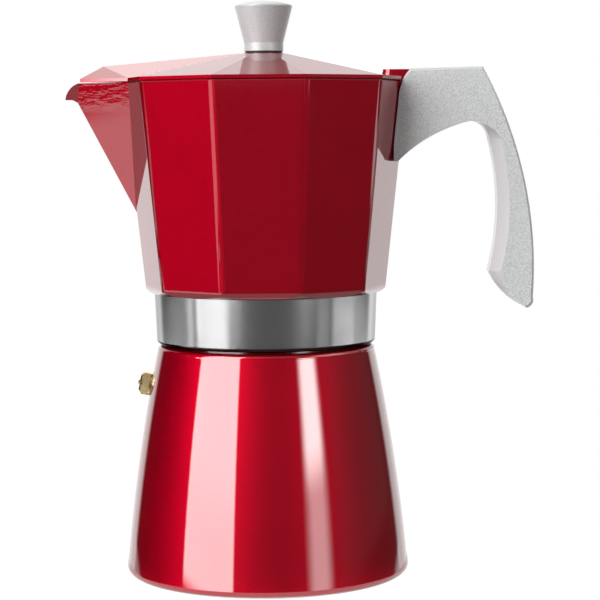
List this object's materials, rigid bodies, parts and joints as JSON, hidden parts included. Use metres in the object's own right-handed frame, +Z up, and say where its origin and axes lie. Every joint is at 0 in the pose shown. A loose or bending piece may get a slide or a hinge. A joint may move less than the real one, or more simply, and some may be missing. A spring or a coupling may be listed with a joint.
{
  "type": "moka pot",
  "caption": "Stove-top coffee pot: a tapered lacquered boiler, a faceted jug with a beak spout that screws onto it, a hinged lid with a knob and a moulded side handle",
  "frame": {"origin": "centre of the boiler's flat underside, which stands on the stove", "axes": "+Z up along the axis of the boiler, +X towards the handle, the spout and the safety valve towards -X"},
  "size_m": [0.196, 0.12, 0.241],
  "materials": {
    "red_lacquer": "glossy candy-red lacquer on cast aluminium",
    "aluminium": "bare satin aluminium sheet",
    "brass": "turned brass",
    "steel": "plain steel",
    "silver_plastic": "silver-grey moulded plastic with a fine grain",
    "dark_washer": "black insulating washer",
    "white_rubber": "off-white silicone"
  },
  "bodies": {
    "boiler": {"boiler": "red_lacquer", "valve_body": "brass", "valve_washer": "brass", "valve_retainer": "brass", "valve_spring": "steel"},
    "valve_plunger": {"valve_plunger": "brass", "valve_seal": "white_rubber"},
    "funnel": {"funnel_basket": "aluminium", "funnel_strainer": "aluminium", "funnel_stem": "aluminium"},
    "gasket": {"gasket": "white_rubber"},
    "filter_plate": {"filter_plate": "aluminium"},
    "collector": {"collector": "red_lacquer", "column": "aluminium", "handle": "silver_plastic", "handle_washer": "steel", "handle_screw": "steel", "hinge_pin": "steel"},
    "lid": {"lid": "red_lacquer", "knob": "silver_plastic", "knob_insert": "brass", "knob_washer": "dark_washer", "knob_screw": "steel"}
  },
  "joints": [
    {"name": "funnel_lift", "type": "slide", "parent": "boiler", "child": "funnel", "axis": [0, 0, 1], "range_m": [0, 0.115]},
    {"name": "top_lift", "type": "slide", "parent": "funnel", "child": "gasket", "axis": [0, 0, 1], "range_m": [0, 0.09]},
    {"name": "top_turn", "type": "hinge", "parent": "gasket", "child": "filter_plate", "pos_m": [0, 0, 0.1142], "axis": [0, 0, 1], "range_deg": [0, 630]},
    {"name": "thread_rise", "type": "slide", "parent": "filter_plate", "child": "collector", "axis": [0, 0, 1], "range_m": [0, 0.0071]},
    {"name": "lid_hinge", "type": "hinge", "parent": "collector", "child": "lid", "pos_m": [0.0644, 0, 0.2088], "axis": [0, 1, 0], "range_deg": [0, 105]},
    {"name": "valve_open", "type": "slide", "parent": "boiler", "child": "valve_plunger", "axis": [-0.9824, 0, 0.187], "range_m": [0, 0.0015], "stiffness_N_per_m": 3000, "springref_m": -0.003, "deforming": ["valve_spring"]}
  ],
  "couplings": [
    {"joint": "thread_rise", "follows": "top_turn", "m_per_rad": 0.00063662}
  ]
}
